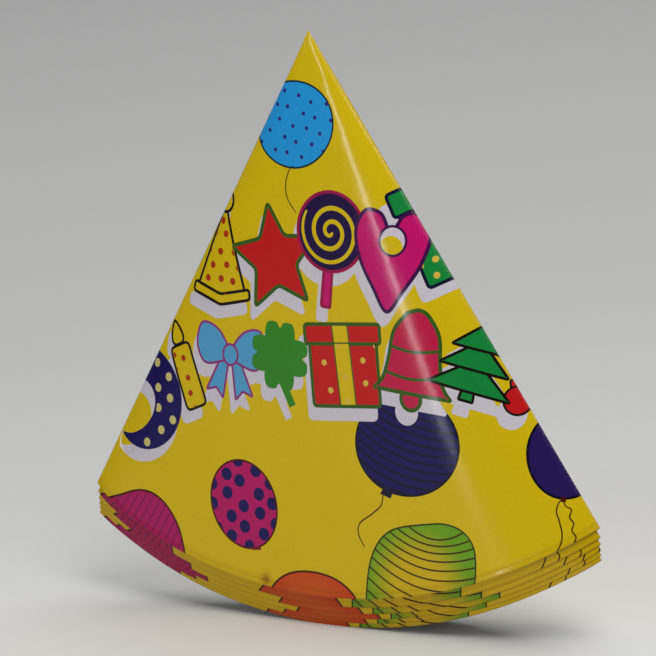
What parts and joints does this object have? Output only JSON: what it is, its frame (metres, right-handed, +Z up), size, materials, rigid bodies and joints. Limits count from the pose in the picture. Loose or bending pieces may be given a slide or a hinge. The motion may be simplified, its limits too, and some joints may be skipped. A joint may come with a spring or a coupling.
{
  "type": "party hat",
  "caption": "Nest of printed cone party hats in glossy yellow card, pressed nearly flat, each with two die-cut chin-cord tabs near the rim; every hat lifts off the next.",
  "frame": {"origin": "middle of the nest's box in X and Y, on the surface that the lowest rim stands on", "axes": "+Z up from the rims to the tips, X along the flattened width from the left fold to the right fold, -Y out of the front panel"},
  "size_m": [0.1924, 0.027, 0.1898],
  "materials": {
    "printed_card": "gloss"
  },
  "bodies": {
    "hat_6": {"hat_6_card": "printed_card", "hat_6_left_cord_tab": "printed_card", "hat_6_right_cord_tab": "printed_card"},
    "hat_5": {"hat_5_card": "printed_card", "hat_5_left_cord_tab": "printed_card", "hat_5_right_cord_tab": "printed_card"},
    "hat_4": {"hat_4_card": "printed_card", "hat_4_left_cord_tab": "printed_card", "hat_4_right_cord_tab": "printed_card"},
    "hat_3": {"hat_3_card": "printed_card", "hat_3_left_cord_tab": "printed_card", "hat_3_right_cord_tab": "printed_card"},
    "hat_2": {"hat_2_card": "printed_card", "hat_2_left_cord_tab": "printed_card", "hat_2_right_cord_tab": "printed_card"},
    "hat_1": {"hat_1_card": "printed_card"},
    "hat_1_left_tab": {"hat_1_left_cord_tab": "printed_card"},
    "hat_1_right_tab": {"hat_1_right_cord_tab": "printed_card"}
  },
  "joints": [
    {"name": "hat_5_lift", "type": "slide", "parent": "hat_6", "child": "hat_5", "axis": [0, 0, 1], "range_m": [0, 0.19]},
    {"name": "hat_4_lift", "type": "slide", "parent": "hat_5", "child": "hat_4", "axis": [0, 0, 1], "range_m": [0, 0.19]},
    {"name": "hat_3_lift", "type": "slide", "parent": "hat_4", "child": "hat_3", "axis": [0, 0, 1], "range_m": [0, 0.19]},
    {"name": "hat_2_lift", "type": "slide", "parent": "hat_3", "child": "hat_2", "axis": [0, 0, 1], "range_m": [0, 0.19]},
    {"name": "hat_1_lift", "type": "slide", "parent": "hat_2", "child": "hat_1", "axis": [0, 0, 1], "range_m": [0, 0.19]},
    {"name": "left_tab_fold", "type": "hinge", "parent": "hat_1", "child": "hat_1_left_tab", "pos_m": [-0.0797, -0.00302, 0.05398], "axis": [-0.8112, 0.3437, 0.4731], "range_deg": [0, 60]},
    {"name": "right_tab_fold", "type": "hinge", "parent": "hat_1", "child": "hat_1_right_tab", "pos_m": [0.0799, 0.0027, 0.05407], "axis": [0.7491, -0.4993, 0.4354], "range_deg": [0, 60]}
  ]
}
